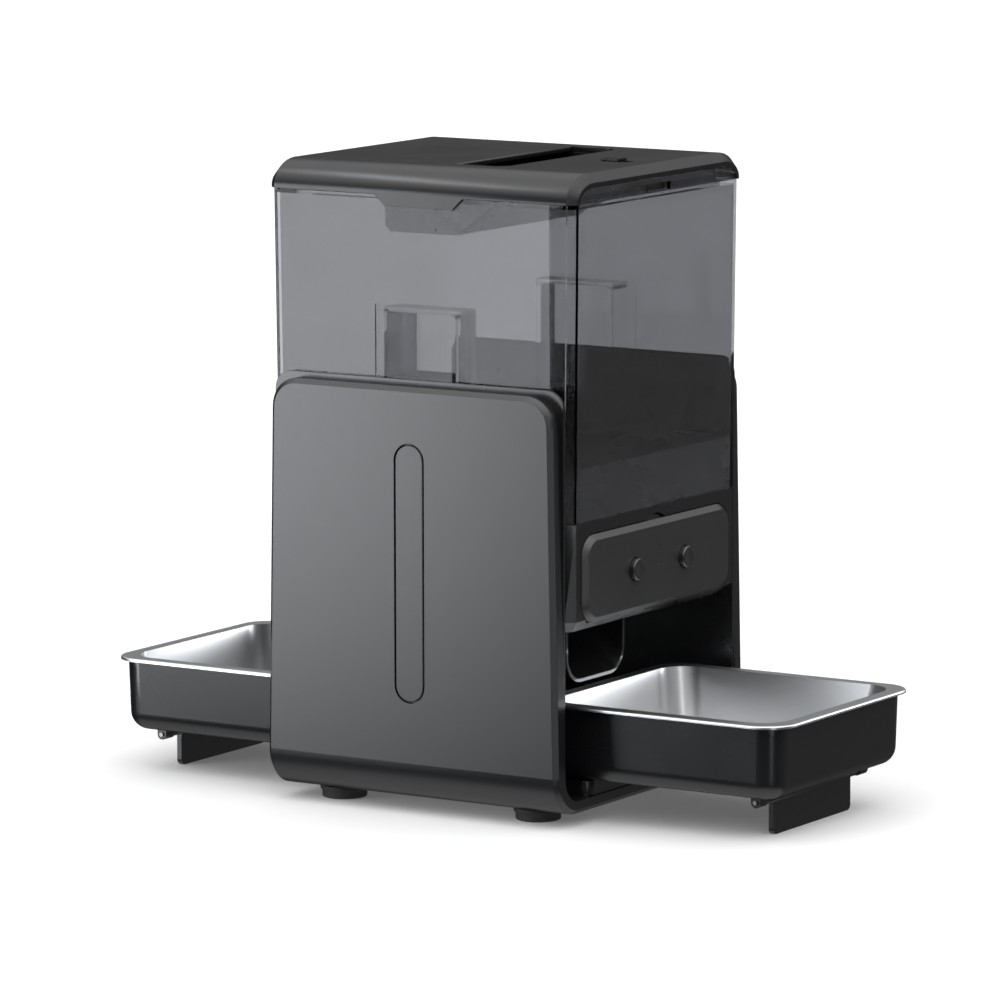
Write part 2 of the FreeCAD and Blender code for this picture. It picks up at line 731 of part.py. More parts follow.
# ---------------------------------------------------------------- tank
def tankHalf(z, inset=0.0):
    share = (z - bodyTopZ) / (lidEdgeZ - bodyTopZ)
    return (bodyHalfX + (tankTopHalfX - bodyHalfX) * share - inset,
            bodyHalfY + (tankTopHalfY - bodyHalfY) * share - inset)


def tankOctagon(z, inset):
    halfX, halfY = tankHalf(z, inset)
    return octagonWire(halfX, halfY, cornerChamfer - 0.59 * inset, z)


def lidProfile(inset, x, lowZ, drop=0.0):
    # end view of the lid: flat top rolling over into two skirts
    half, top = lidHalfY - inset, totalHeight - inset - drop
    a, b = lidRollY - inset, lidRollZ - inset
    yc, zc = half - a, top - b
    edges = []
    for side in (1, -1):
        ellipse = Part.Ellipse(V(x, side * half, zc), V(x, side * yc, top), V(x, side * yc, zc))
        edges.append(Part.Arc(ellipse, 0, math.pi / 2).toShape())
        edges.append(Part.makeLine(V(x, side * half, lowZ), V(x, side * half, zc)))
    edges.append(Part.makeLine(V(x, -yc, top), V(x, yc, top)))
    edges.append(Part.makeLine(V(x, -half, lowZ), V(x, half, lowZ)))
    return Part.Wire(Part.__sortEdges__(edges))


def fingerPocket(sy):
    face = tankTopHalfY + 3
    depthY = bodyHalfY - fingerDepth
    pocket = box(-fingerHalfX, fingerHalfX, *sorted((sy * face, sy * depthY)), fingerLowZ, fingerHighZ)
    corners = [edge for edge in pocket.Edges if edge.BoundBox.YLength > 5]
    return pocket.makeFillet(2.0, corners)


def fingerWell(sy):
    grow = tankWall
    face = bodyHalfY - 1
    depthY = bodyHalfY - fingerDepth - grow
    return box(-fingerHalfX - grow, fingerHalfX + grow, *sorted((sy * face, sy * depthY)),
               fingerLowZ - grow, fingerHighZ + grow)


def fingerBorder(sy):
    # shallow frame stepped into the wall round the pocket, open downwards
    topZ = fingerHighZ + fingerFrame / 2
    innerY = tankHalf((fingerLowZ + topZ) / 2)[1] - fingerStep
    y0, y1 = sorted((sy * innerY, sy * (tankTopHalfY + 3)))
    return box(-fingerHalfX - fingerFrame, fingerHalfX + fingerFrame, y0, y1, fingerLowZ, topZ)


def cornerRibs():
    ribs = []
    z0, z1 = tankBottomZ + 1.5, ribTopZ
    halfX, halfY = tankHalf((z0 + z1) / 2)
    for sx in (-1, 1):
        for sy in (-1, 1):
            for step in (-1, 0, 1):
                rib = box(-0.6, 0.35, step * 1.7 - 0.3, step * 1.7 + 0.3, z0, z1)
                rib.rotate(V(0, 0, 0), V(0, 0, 1), math.degrees(math.atan2(sy, sx)))
                rib.translate(V(sx * (halfX - cornerChamfer / 2), sy * (halfY - cornerChamfer / 2), 0))
                ribs.append(rib)
    return ribs


def tankShell():
    outer = loft(tankOctagon(tankBottomZ, 0), tankOctagon(shoulderZ, 0))
    hollow = loft(tankOctagon(tankBottomZ - 1, tankWall), tankOctagon(shoulderZ - tankWall, tankWall))
    for sy in (-1, 1):
        hollow = hollow.cut(fingerWell(sy))
    wellMouth = box(-shelfHalfX, shelfHalfX, -shelfHalfY, shelfHalfY, shoulderZ - 10, shoulderZ + 20)
    shell = outer.cut(hollow).cut(wellMouth)
    neckInset = cornerChamfer + lidEndBand + clear
    neck = extruded("YZ", lidProfile(neckInset, -tankTopHalfX, shoulderZ - 1), 2 * tankTopHalfX)
    neckHollow = extruded("YZ", lidProfile(neckInset + tankWall, -tankTopHalfX + tankWall, shoulderZ - 8,
                                           -tankWall - 10), 2 * (tankTopHalfX - tankWall))
    neck = neck.cut(neckHollow)
    shell = joined([shell, neck] + cornerRibs())
    shell = shell.cut(box(tankTopHalfX - 5, tankTopHalfX + 5, -latchWindowHalfY, latchWindowHalfY,
                          latchWindowLowZ, latchWindowHighZ))
    for sy in (-1, 1):
        shell = shell.cut(fingerBorder(sy)).cut(fingerPocket(sy))
    return shell


def tankFunnel():
    gap = 0.15
    outer = loft(tankOctagon(tankBottomZ, tankWall + gap), tankOctagon(funnelRimZ, tankWall + gap))
    throat = roundedWire("XY", -throatHalfX, throatHalfX, -drumHalfY + 1, drumHalfY - 1, 4, funnelFloorZ)
    halfX, halfY = tankHalf(funnelRimZ, tankWall + gap + 1.0)
    rim = roundedWire("XY", -halfX, halfX, -halfY, halfY, 6, funnelRimZ + 0.01)
    slopes = loft(throat, rim)
    drop = box(-throatHalfX, throatHalfX, -drumHalfY + 1, drumHalfY - 1, tankBottomZ - 1, funnelFloorZ + 1)
    underHalfX, underHalfY = tankHalf(funnelRimZ, tankWall + gap + 3.0)
    below = loft(roundedWire("XY", -underHalfX, underHalfX, -underHalfY, underHalfY, 6, tankBottomZ - 0.01),
                 roundedWire("XY", -underHalfX, underHalfX, -underHalfY, underHalfY, 6,
                             funnelRimZ - 4.0))
    cone = loft(roundedWire("XY", -throatHalfX - 2.4, throatHalfX + 2.4, -drumHalfY - 1.4,
                            drumHalfY + 1.4, 5, tankBottomZ - 0.02),
                roundedWire("XY", -halfX + 0.4, halfX - 0.4, -halfY + 0.4, halfY - 0.4, 6, funnelRimZ - 2.8))
    under = below.cut(cone)
    return outer.cut(slopes).cut(drop).cut(under)


# ---------------------------------------------------------------- lid

def lidBlock():
    shoulder = lidHalfX - cornerChamfer
    middle = extruded("YZ", lidProfile(0, -shoulder, lidEdgeZ), 2 * shoulder)
    end = loft(lidProfile(0, shoulder, lidEdgeZ), lidProfile(cornerChamfer, lidHalfX, lidEdgeZ))
    return joined([middle, end, mirroredX(end)])


def lidTab(sy):
    y0, y1 = sorted((sy * lidHalfY, sy * (tankTopHalfY + clear)))
    return polygon("XZ", [(-tabBottom / 2, lidEdgeZ - tabDrop), (tabBottom / 2, lidEdgeZ - tabDrop),
                          (tabTop / 2, lidEdgeZ), (tabTop / 2, lidEdgeZ + 1), (-tabTop / 2, lidEdgeZ + 1),
                          (-tabTop / 2, lidEdgeZ)], y0, y1)


def lidShell():
    endInset = cornerChamfer + lidEndBand
    beam = 2.0
    innerX = tankTopHalfX - tankWall - 0.4
    hollow = extruded("YZ", lidProfile(lidWall, -innerX, lidEdgeZ - 1, lidSkin - lidWall), 2 * innerX)
    ends = extruded("YZ", lidProfile(endInset, -lidHalfX - 1, lidEdgeZ - 1), 2 * lidHalfX + 2)
    skirtCut = box(-lidHalfX - 1, lidHalfX + 1, -lidHalfY + endInset, lidHalfY - endInset, lidEdgeZ - 1,
                   lidEdgeZ + beam)
    shell = cutAll(lidBlock(), [hollow, ends, skirtCut])
    shell = joined([shell, lidTab(-1), lidTab(1)])
    opening = roundedBlock("XY", -pocketHalfX - 0.4, pocketHalfX, -pocketHalfY, pocketHalfY, 8,
                           totalHeight - 12, totalHeight + 1)
    slot = roundedBlock("XY", slotX0, slotX1, -slotHalfY, slotHalfY, 1.5, totalHeight - 12, totalHeight + 1)
    shell = shell.cut(opening).cut(slot)
    postHeight = totalHeight - lidSkin - lidPlateHighZ + 0.5
    posts = [rod("Z", x, y, lidPlateHighZ, 3.2, postHeight) for x, y in lidScrewPlaces()]
    shell = joined([shell] + posts)
    holes = [rod("Z", x, y, lidPlateHighZ - 1, 1.2 + screwPlay, 5) for x, y in lidScrewPlaces()]
    return cutAll(shell, holes)


def lidScrewPlaces():
    x, y = lidPlateHalfX - 7.0, lidPlateHalfY - 9.7
    return [(sx * x, sy * y) for sx in (-1, 1) for sy in (-1, 1)] + [(-x, 0.0), (44.0, -40.0), (44.0, 40.0)]


def handlePlate():
    plate = roundedBlock("XY", -pocketHalfX, pocketHalfX - 0.4, -pocketHalfY + 0.4, pocketHalfY - 0.4, 7.6,
                         totalHeight - plateThick, totalHeight)
    plate = plate.cut(box(plateEdgeX, 60, -80, 80, totalHeight - 20, totalHeight + 1))
    front = [edge for edge in plate.Edges if abs(edge.BoundBox.XMin - plateEdgeX) < 1e-6
             and edge.BoundBox.YLength > 50]
    return plate.makeFillet(0.9, front)


def tubSection(grow, topZ):
    # side view of the finger pocket: flat floor, then a ramp up to the far edge
    floor = tubFloorZ + (0 if grow else tubSkin)
    side = pocketHalfX + grow
    return [(-side, topZ), (-side, floor + 3), (-side + 3, floor), (plateEdgeX + 1.5, floor),
            (side - 5, floor + 17), (side, floor + 22), (side, topZ)]


def handleTub():
    top = totalHeight - plateThick - 0.02
    outer = polygon("XZ", tubSection(tubSkin, top), -pocketHalfY - tubSkin, pocketHalfY + tubSkin)
    inner = polygon("XZ", tubSection(0, top + 1), -pocketHalfY, pocketHalfY)
    ledge = box(-pocketHalfX - 0.1, -pocketHalfX + 3, -pocketHalfY - 0.1, pocketHalfY + 0.1, top - 3, top)
    tub = outer.cut(inner).fuse(ledge)
    edges = [edge for edge in tub.Edges
             if edge.BoundBox.ZMin > tubFloorZ + 4 and edge.BoundBox.ZLength > 12
             and abs(abs(edge.BoundBox.YMin) - pocketHalfY - tubSkin) < 0.01
             and edge.BoundBox.XLength < 0.01]
    tub = tub.makeFillet(4.0, edges) if edges else tub
    return tub.common(box(-60, 60, -80, 80, 0, totalHeight - lidSkin - 0.02).fuse(
        roundedBlock("XY", -pocketHalfX + 0.1, pocketHalfX - 0.4, -pocketHalfY + 0.4, pocketHalfY - 0.4,
                     7.6, totalHeight - 4, top))).removeSplitter()


def lidLiner():
    halfX, halfY = lidPlateHalfX, lidPlateHalfY
    plate = roundedBlock("XY", -halfX, halfX, -halfY, halfY, 8, lidPlateLowZ, lidPlateHighZ)
    outer = roundedBlock("XY", -halfX, halfX, -halfY, halfY, 8, lidPlateLowZ - 1.9, lidPlateLowZ)
    inner = roundedBlock("XY", -halfX + 2, halfX - 2, -halfY + 2, halfY - 2, 6, lidPlateLowZ - 3,
                         lidPlateLowZ)
    hole = box(-pocketHalfX - tubSkin - 0.2, pocketHalfX + tubSkin + 0.2, -pocketHalfY - tubSkin - 0.2,
               pocketHalfY + tubSkin + 0.2, lidPlateLowZ - 5, lidPlateHighZ + 5)
    return cutAll(joined([plate, outer.cut(inner)]), [hole] +
                  [rod("Z", x, y, lidPlateLowZ - 1, 1.4, 6) for x, y in lidScrewPlaces()])


def lidGasket():
    top = lidPlateLowZ - 1.9
    halfX, halfY = lidPlateHalfX, lidPlateHalfY
    outer = roundedBlock("XY", -halfX, halfX, -halfY, halfY, 8, shoulderZ + clear, top)
    inner = roundedBlock("XY", -halfX + 2.6, halfX - 2.6, -halfY + 2.6, halfY - 2.6, 5.4, shoulderZ,
                         top + 1)
    return outer.cut(inner)


def lidScrews():
    screws = [screw("Z", x, y, lidPlateLowZ, 5.4, 2.4, 1.4, 1.2) for x, y in lidScrewPlaces()]
    return Part.makeCompound(screws)


def latchSlide():
    # bar under the lid top, riser down past the plate, tongue that enters the window in the tank wall
    barLow, barHigh = lidPlateHighZ + clear, totalHeight - lidSkin - clear
    riserX = lidPlateHalfX + 0.4
    endX = tankTopHalfX - tankWall - 0.6
    tipHalfY = latchWindowHalfY - 1.2
    bar = box(knobX - 8, riserX + 1.4, -7.5, 7.5, barLow, barHigh)
    riser = box(riserX, riserX + 1.4, -7.5, 7.5, latchWindowHighZ - 1, barLow + 1)
    tongue = box(riserX, endX, -tipHalfY, tipHalfY, latchWindowLowZ + clear, latchWindowHighZ - clear)
    stem = box(knobX - 2.8, knobX + 2.8, -slotHalfY + 0.4, slotHalfY - 0.4, barLow + 1, totalHeight + 0.3)
    return joined([bar, riser, tongue, stem])


def latchKnob():
    low = totalHeight + 0.3
    startX = knobX - knobHalfX
    cap = roundedBlock("XY", startX, knobX + knobHalfX, -3.9, 3.9, 0.8, low, totalHeight + knobProud)
    grooves = [box(startX + 1.5 + 1.2 * step, startX + 2.0 + 1.2 * step, -5, 5,
                   totalHeight + knobProud - 0.5, totalHeight + knobProud + 1) for step in range(7)]
    return cutAll(cap, grooves)


# ---------------------------------------------------------------- buttons
def button(sy):
    y = sy * buttonY
    face = panelFaceX + buttonProud
    cap = rod("X", panelBackX - 1.5, y, buttonZ, buttonRadius, face - panelBackX + 1.5)
    rim = [edge for edge in cap.Edges if edge.Closed and abs(edge.BoundBox.XMin - face) < 0.01]
    cap = cap.makeFillet(0.9, rim)
    dish = Part.makeSphere(22.0, V(face + 21.7, y, buttonZ))
    flange = rod("X", panelBackX - clear - 1.4, y, buttonZ, buttonRadius + 1.3, 1.4)
    stem = rod("X", boardFaceX + 2.9, y, buttonZ, 2.0, 4.0)
    return joined([cap.cut(dish), flange, stem])


# ---------------------------------------------------------------- bowls, holders, legs
def taperedBlock(inset, topZ, bottomZ, radius, draft):
    x0, x1, y1 = holderInX + inset, holderOutX - inset, holderHalfY - inset
    low = roundedWire("XY", x0 + draft, x1 - draft, -y1 + draft, y1 - draft, radius - draft, bottomZ)
    return loft(low, roundedWire("XY", x0, x1, -y1, y1, radius, topZ))


def bottomEdges(solid, z):
    return [edge for edge in solid.Edges if abs(edge.BoundBox.ZMax - z) < 1e-4]


def bowlHolder():
    outer = taperedBlock(0, holderTopZ, holderBottomZ, holderRadius, holderDraft)
    outer = outer.makeFillet(holderBelly, bottomEdges(outer, holderBottomZ))
    innerFloor = holderBottomZ + holderFloor
    inner = taperedBlock(holderWall, holderTopZ, innerFloor, holderRadius - holderWall, holderDraft)
    inner = inner.makeFillet(holderBelly - 3.0, bottomEdges(inner, innerFloor))
    rimCut = taperedBlock(holderWall, holderTopZ + 5, holderTopZ - 1, holderRadius - holderWall, 0)
    tongue = box(holderInX + 3, dockOutX - 0.5, -tongueHalfY, tongueHalfY, holderBottomZ - tongueDrop,
                 holderBottomZ + 0.6)
    parts = [outer.cut(inner.fuse(rimCut)), tongue]
    for sy in (-1, 1):
        y0 = sy * knuckleOut
        parts.append(rod("Y", legX, y0, legZ, knuckleRadius, -sy * knuckleLength))
        parts.append(box(legX - knuckleRadius, legX + knuckleRadius,
                         *sorted((y0, y0 - sy * knuckleLength)), legZ, holderBottomZ + 0.6))
    return joined(parts).cut(rod("Y", legX, -60, legZ, legPinRadius + 0.02, 120))


def bowl():
    rimTop = bowlRimZ
    rim = roundedBlock("XY", bowlInX, bowlOutX, -bowlHalfY, bowlHalfY, bowlRimRadius, rimTop - bowlLip,
                       rimTop)
    top = [edge for edge in rim.Edges if abs(edge.BoundBox.ZMin - rimTop) < 1e-6]
    rim = rim.makeFillet(0.9, top)
    hollowUnder = roundedBlock("XY", bowlInX + bowlSheet, bowlOutX - bowlSheet, -bowlHalfY + bowlSheet,
                               bowlHalfY - bowlSheet, bowlRimRadius - bowlSheet, rimTop - bowlLip - 1,
                               rimTop - bowlSheet)
    wallIn = bowlRimWidth

    def basin(offset, floorZ, topZ, belly):
        x0, x1, y1 = bowlInX + wallIn + offset, bowlOutX - wallIn - offset, bowlHalfY - wallIn - offset
        low = roundedWire("XY", x0 + bowlTaper, x1 - bowlTaper, -y1 + bowlTaper, y1 - bowlTaper,
                          bowlRimRadius - offset, floorZ)
        solid = loft(low, roundedWire("XY", x0, x1, -y1, y1, bowlRimRadius - offset, topZ))
        return solid.makeFillet(belly, bottomEdges(solid, floorZ))

    outside = basin(0, bowlFloorZ, rimTop - 0.2, bowlBelly)
    inside = basin(bowlSheet, bowlFloorZ + bowlSheet, rimTop + 0.2, bowlBelly - bowlSheet)
    return joined([rim.cut(hollowUnder), outside]).cut(inside)


def leg():
    x0 = legX + 1.3 - legThick
    plate = roundedBlock("YZ", -legHalfY, legHalfY, 0, legZ + 4, 3.0, x0, x0 + legThick)
    plate = plate.common(box(0, 300, -100, 100, -1, legZ))
    reach = knuckleOut - knuckleLength - clear
    barrel = rod("Y", legX, -reach, legZ, 2.3, 2 * reach)
    return joined([plate, barrel]).cut(rod("Y", legX, -60, legZ, legPinRadius + running, 120))


def legPin():
    return rod("Y", legX, -knuckleOut - 0.9, legZ, legPinRadius, 2 * knuckleOut + 1.8)


def holderDock():
    top = holderBottomZ - clear
    block = box(dockInX, dockOutX, -dockHalfY, dockHalfY, cradleFloorZ, top)
    uprights = [edge for edge in block.Edges if edge.BoundBox.ZLength > 5]
    block = block.makeFillet(5.0, uprights)
    groove = box(holderInX + 3 - clear, dockOutX + 1, -tongueHalfY - clear, tongueHalfY + clear,
                 holderBottomZ - tongueDrop - clear, top + 1)
    return block.cut(groove)


# ---------------------------------------------------------------- write every node
os.makedirs("parts", exist_ok=True)

save("cradle_shell", cradleShell())
for end, sy in (("front", -1), ("rear", 1)):
    save(end + "_inlay", inlay(sy))
    save(end + "_liner", liner(sy))
save("arm_screws", armScrews())
save("feet", feet())
save("foot_screws", footScrews())
save("housing_shell", housingShell())
save("housing_cover", housingCover())
save("cover_screws", coverScrews())
save("control_panel", controlPanel())
save("battery_door", batteryDoor())
save("speaker", speaker())
save("power_inlet", powerInlet())
save("circuit_board", circuitBoard())
save("board_screws", boardScrews())
save("tact_switches", tactSwitches())
save("microphone", microphone())
save("status_light", statusLight())
save("battery_box", batteryBox())
save("battery_cells", batteryCells())
save("battery_contacts", batteryContacts())
save("dosing_drum", dosingDrum())
save("shaft_bushes", shaftBushes())
save("rotor_shaft", rotorShaft())
save("rotor_wheel", rotorWheel())
save("vane_tips", vaneTips())
save("drive_gear", driveGear())
save("motor_pinion", motorPinion())
save("motor_shaft", motorShaft())
save("gearbox", gearbox())
save("motor_can", motorCan())
save("motor_bracket", motorBracket())
save("chute_splitter", chuteSplitter())
save("tank_shell", tankShell())
save("tank_funnel", tankFunnel())
save("lid_shell", lidShell())
save("handle_plate", handlePlate())
save("handle_tub", handleTub())
save("lid_liner", lidLiner())
save("lid_gasket", lidGasket())
save("lid_screws", lidScrews())
save("latch_slide", latchSlide())
save("latch_knob", latchKnob())
save("record_button", button(-1))
save("feed_button", button(1))
for name, flip in (("right", False), ("left", True)):
    for part, shape in (("bowl", bowl()), ("bowl_holder", bowlHolder()), ("leg", leg()),
                        ("leg_pin", legPin()), ("holder_dock", holderDock())):
        save(part + "_" + name, mirroredX(shape) if flip else shape)
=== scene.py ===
import math
import bmesh
import bpy
from mathutils import Matrix, Vector

# Looks of a twin-bowl automatic pet feeder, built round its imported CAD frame. Units are metres.
mm = 0.001
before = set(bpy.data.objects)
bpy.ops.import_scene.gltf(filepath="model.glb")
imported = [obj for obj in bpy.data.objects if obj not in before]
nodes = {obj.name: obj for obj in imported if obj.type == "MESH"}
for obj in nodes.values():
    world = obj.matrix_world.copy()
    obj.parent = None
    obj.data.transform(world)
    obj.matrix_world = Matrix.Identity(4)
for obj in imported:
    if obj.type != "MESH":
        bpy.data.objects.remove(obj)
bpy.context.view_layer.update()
print("frame loaded:", len(nodes), "nodes")


def toLinear(hexColour):
    parts = [int(hexColour[i:i + 2], 16) / 255 for i in (1, 3, 5)]
    return tuple(c / 12.92 if c <= 0.04045 else ((c + 0.055) / 1.055) ** 2.4 for c in parts) + (1.0,)


def addNode(tree, kind, settings=None, links=None):
    node = tree.nodes.new(kind)
    for name, value in (settings or {}).items():
        if isinstance(name, str) and hasattr(node, name):
            setattr(node, name, value)
        else:
            node.inputs[name].default_value = value
    for name, source in (links or {}).items():
        tree.links.new(source, node.inputs[name])
    return node


def newMaterial(name, constants):
    # an empty material with a Principled shader whose sockets are set directly, and Object coordinates
    material = bpy.data.materials.new(name)
    material.use_nodes = True
    tree = material.node_tree
    tree.nodes.clear()
    shader = addNode(tree, "ShaderNodeBsdfPrincipled", constants)
    addNode(tree, "ShaderNodeOutputMaterial", links={"Surface": shader.outputs[0]})
    place = addNode(tree, "ShaderNodeTexCoord").outputs["Object"]
    return material, tree, shader, place


def mixColours(tree, factor, first, second):
    mix = addNode(tree, "ShaderNodeMix", {"data_type": "RGBA"})
    tree.links.new(factor, mix.inputs[0])
    mix.inputs[6].default_value = toLinear(first)
    mix.inputs[7].default_value = toLinear(second)
    return mix.outputs[2]


def varyRoughness(tree, shader, noise, low, high):
    rough = addNode(tree, "ShaderNodeMapRange", {"To Min": low, "To Max": high}, {"Value": noise.outputs[0]})
    tree.links.new(rough.outputs[0], shader.inputs["Roughness"])


def perMetre(millimetres):
    return 1 / (millimetres * mm)


# moulded plastics: grain of about 1.2 mm, faint flow mottling, slightly uneven gloss, softened edges
def mouldedPlastic(name, dark, light, roughness, bump=0.05, spread=0.05, extra=None):
    constants = {"IOR": 1.7}
    constants.update(extra or {})
    material, tree, shader, place = newMaterial(name, constants)
    mottle = addNode(tree, "ShaderNodeTexNoise", {"Scale": perMetre(38), "Detail": 3.0}, {"Vector": place})
    fine = addNode(tree, "ShaderNodeTexNoise", {"Scale": perMetre(1.2), "Detail": 2.0}, {"Vector": place})
    colour = mixColours(tree, mottle.outputs[0], dark, light)
    tree.links.new(colour, shader.inputs["Base Color"])
    varyRoughness(tree, shader, mottle, roughness - spread, roughness + spread)
    soft = addNode(tree, "ShaderNodeBevel", {"samples": 4, "Radius": 0.3 * mm})
    raised = addNode(tree, "ShaderNodeBump", {"Strength": bump, "Distance": 0.05 * mm},
                     {"Height": fine.outputs[0], "Normal": soft.outputs[0]})
    tree.links.new(raised.outputs[0], shader.inputs["Normal"])
    return material


# sprayed satin paint on ABS: orange peel of about 1.5 mm and tiny metallic flecks
def satinPaint(name):
    material, tree, shader, place = newMaterial(name, {"IOR": 1.7})
    peel = addNode(tree, "ShaderNodeTexNoise", {"Scale": perMetre(1.5), "Detail": 1.0}, {"Vector": place})
    flecks = addNode(tree, "ShaderNodeTexVoronoi", {"Scale": perMetre(0.7)}, {"Vector": place})
    colour = mixColours(tree, flecks.outputs["Distance"], "#17181b", "#1b1c1f")
    tree.links.new(colour, shader.inputs["Base Color"])
    varyRoughness(tree, shader, peel, 0.27, 0.33)
    soft = addNode(tree, "ShaderNodeBevel", {"samples": 4, "Radius": 0.4 * mm})
    raised = addNode(tree, "ShaderNodeBump", {"Strength": 0.06, "Distance": 0.03 * mm},
                     {"Height": peel.outputs[0], "Normal": soft.outputs[0]})
    tree.links.new(raised.outputs[0], shader.inputs["Normal"])
    return material


# injection-moulded smoke-tinted polycarbonate: clear and glossy, with a slight drift in its tint
def smokedPolycarbonate(name):
    material, tree, shader, place = newMaterial(name, {"IOR": 1.3, "Transmission Weight": 1.0,
                                                       "Roughness": 0.0})
    haze = addNode(tree, "ShaderNodeTexNoise", {"Scale": perMetre(60), "Detail": 2.0}, {"Vector": place})
    colour = mixColours(tree, haze.outputs[0], "#9b9c9f", "#a0a1a4")
    tree.links.new(colour, shader.inputs["Base Color"])
    return material


# metals: fine lines left by rolling, brushing or turning, stretched along one axis
def linedMetal(name, dark, light, roughness, stretch, spacing, bump=0.1, spread=0.08):
    material, tree, shader, place = newMaterial(name, {"Metallic": 1.0})
    along = addNode(tree, "ShaderNodeMapping", {"Scale": stretch}, {"Vector": place})
    lines = addNode(tree, "ShaderNodeTexNoise", {"Scale": perMetre(spacing), "Detail": 4.0},
                    {"Vector": along.outputs[0]})
    colour = mixColours(tree, lines.outputs[0], dark, light)
    tree.links.new(colour, shader.inputs["Base Color"])
    varyRoughness(tree, shader, lines, roughness - spread, roughness + spread)
    raised = addNode(tree, "ShaderNodeBump", {"Strength": bump, "Distance": 0.02 * mm},
                     {"Height": lines.outputs[0]})
    tree.links.new(raised.outputs[0], shader.inputs["Normal"])
    return material


armPaint = satinPaint("satinGreyPaint")
blackAbs = mouldedPlastic("mouldedBlackAbs", "#131416", "#17181a", 0.27)
lidAbs = mouldedPlastic("mouldedGreyAbs", "#131315", "#171719", 0.3, extra={"IOR": 1.55})
glossAbs = mouldedPlastic("polishedBlackAbs", "#232325", "#2a2a2c", 0.12, bump=0.02, spread=0.03,
                          extra={"Coat Weight": 0.5, "Coat Roughness": 0.04})
smokyPc = smokedPolycarbonate("smokedPolycarbonate")
panelAbs = mouldedPlastic("texturedBlackAbs", "#313132", "#363637", 0.34)
smokedLens = mouldedPlastic("smokedAcrylicLens", "#0c0c0d", "#101011", 0.2)
bowlSteel = linedMetal("pressedStainlessSteel", "#d8d9da", "#e4e5e6", 0.3, (1, 16, 16), 8.0,
                       bump=0.02, spread=0.03)
turnedSteel = linedMetal("turnedSteel", "#8f9092", "#a8a9aa", 0.3, (1, 12, 1), 3.0)
screwZinc = linedMetal("zincPlatedSteel", "#8c8d8c", "#a6a7a3", 0.35, (1, 1, 1), 2.0)
footRubber = mouldedPlastic("mouldedRubber", "#161616", "#1e1e1e", 0.75, bump=0.3)
innerAcetal = mouldedPlastic("mouldedAcetal", "#b9b8b2", "#c6c5bf", 0.42)
boardFr4 = mouldedPlastic("solderMaskedBoard", "#1e4a2c", "#255a35", 0.3)
darkParts = mouldedPlastic("mouldedBlackNylon", "#1b1b1c", "#232324", 0.5)
cellSleeve = mouldedPlastic("shrunkVinylSleeve", "#2d2f33", "#3a3d42", 0.28)
contactNickel = linedMetal("nickelPlatedSpringSteel", "#a9a69c", "#c2bfb4", 0.25, (1, 1, 6), 1.5)

slotMaterials = {
    "arm_grey": armPaint, "black_plastic": blackAbs, "lid_grey": lidAbs, "gloss_black": glossAbs,
    "smoky_clear": smokyPc, "steel": bowlSteel, "screw_steel": screwZinc, "rubber": footRubber,
    "inner_plastic": innerAcetal, "board_green": boardFr4, "dark_parts": darkParts,
    "cell_sleeve": cellSleeve, "contact_metal": contactNickel,
}
ownMaterials = {"rotor_shaft": turnedSteel, "motor_shaft": turnedSteel, "leg_pin_right": turnedSteel,
                "leg_pin_left": turnedSteel, "motor_can": screwZinc, "control_panel": panelAbs,
                "battery_door": panelAbs, "status_light": smokedLens, "microphone": smokedLens}
for name, node in nodes.items():
    slotName = node.data.materials[0].name.split(".")[0]
    node.material_slots[0].material = ownMaterials.get(name, slotMaterials[slotName])
print("materials on", len(nodes), "nodes")

# small radii on the edges of what shows, in millimetres
edgeRadii = {
    "cradle_shell": 0.5, "front_inlay": 0.3, "rear_inlay": 0.3, "front_liner": 0.3, "rear_liner": 0.3,
    "housing_shell": 0.4, "control_panel": 0.35, "battery_door": 0.35, "chute_splitter": 0.3,
    "lid_shell": 0.5, "handle_plate": 0.2, "latch_knob": 0.15, "feet": 0.4,
    "bowl_holder_right": 0.4, "bowl_holder_left": 0.4, "leg_right": 0.4, "leg_left": 0.4,
    "holder_dock_right": 0.4, "holder_dock_left": 0.4, "handle_tub": 0.3,
}
for name, radius in edgeRadii.items():
    weld = nodes[name].modifiers.new("weld", "WELD")
    weld.merge_threshold = 0.001 * mm
    soften = nodes[name].modifiers.new("soften", "BEVEL")
    soften.width = radius * mm
    soften.segments = 2
    soften.limit_method = "ANGLE"
    soften.angle_limit = math.radians(38)
print("edges softened on", len(edgeRadii), "nodes")

# studio: a pale floor that runs far back under a white dome, both seen but lighting nothing, a surround that
# is bright overhead and dim at eye level, and soft boxes, some of which reach only the lid or the bowls
studio = {
    "floorRadius": 12.0, "domeRadius": 13.0,
    # brightness of the surround at each height of the direction, from straight down to straight up
    "surround": ((-1.0, 0.7), (-0.72, 0.6), (-0.55, 0.04), (-0.2, 0.04), (0.26, 0.07), (0.45, 0.9),
                 (0.8, 1.9), (1.0, 2.1)),
    "backGlow": 0.1, "backFrom": (0.53, 0.84, 0.0),
    # the high light stands over the front, the far side is dimmer
    "farDim": 0.62, "farFrom": (-0.53, 0.84, 0.0),
}


def stagePiece(name, bm, material):
    mesh = bpy.data.meshes.new(name)
    bm.to_mesh(mesh)
    bm.free()
    mesh.materials.append(material)
    piece = bpy.data.objects.new(name, mesh)
    bpy.context.scene.collection.objects.link(piece)
    piece.visible_diffuse = False
    piece.visible_glossy = False
    piece.visible_shadow = False
    return piece


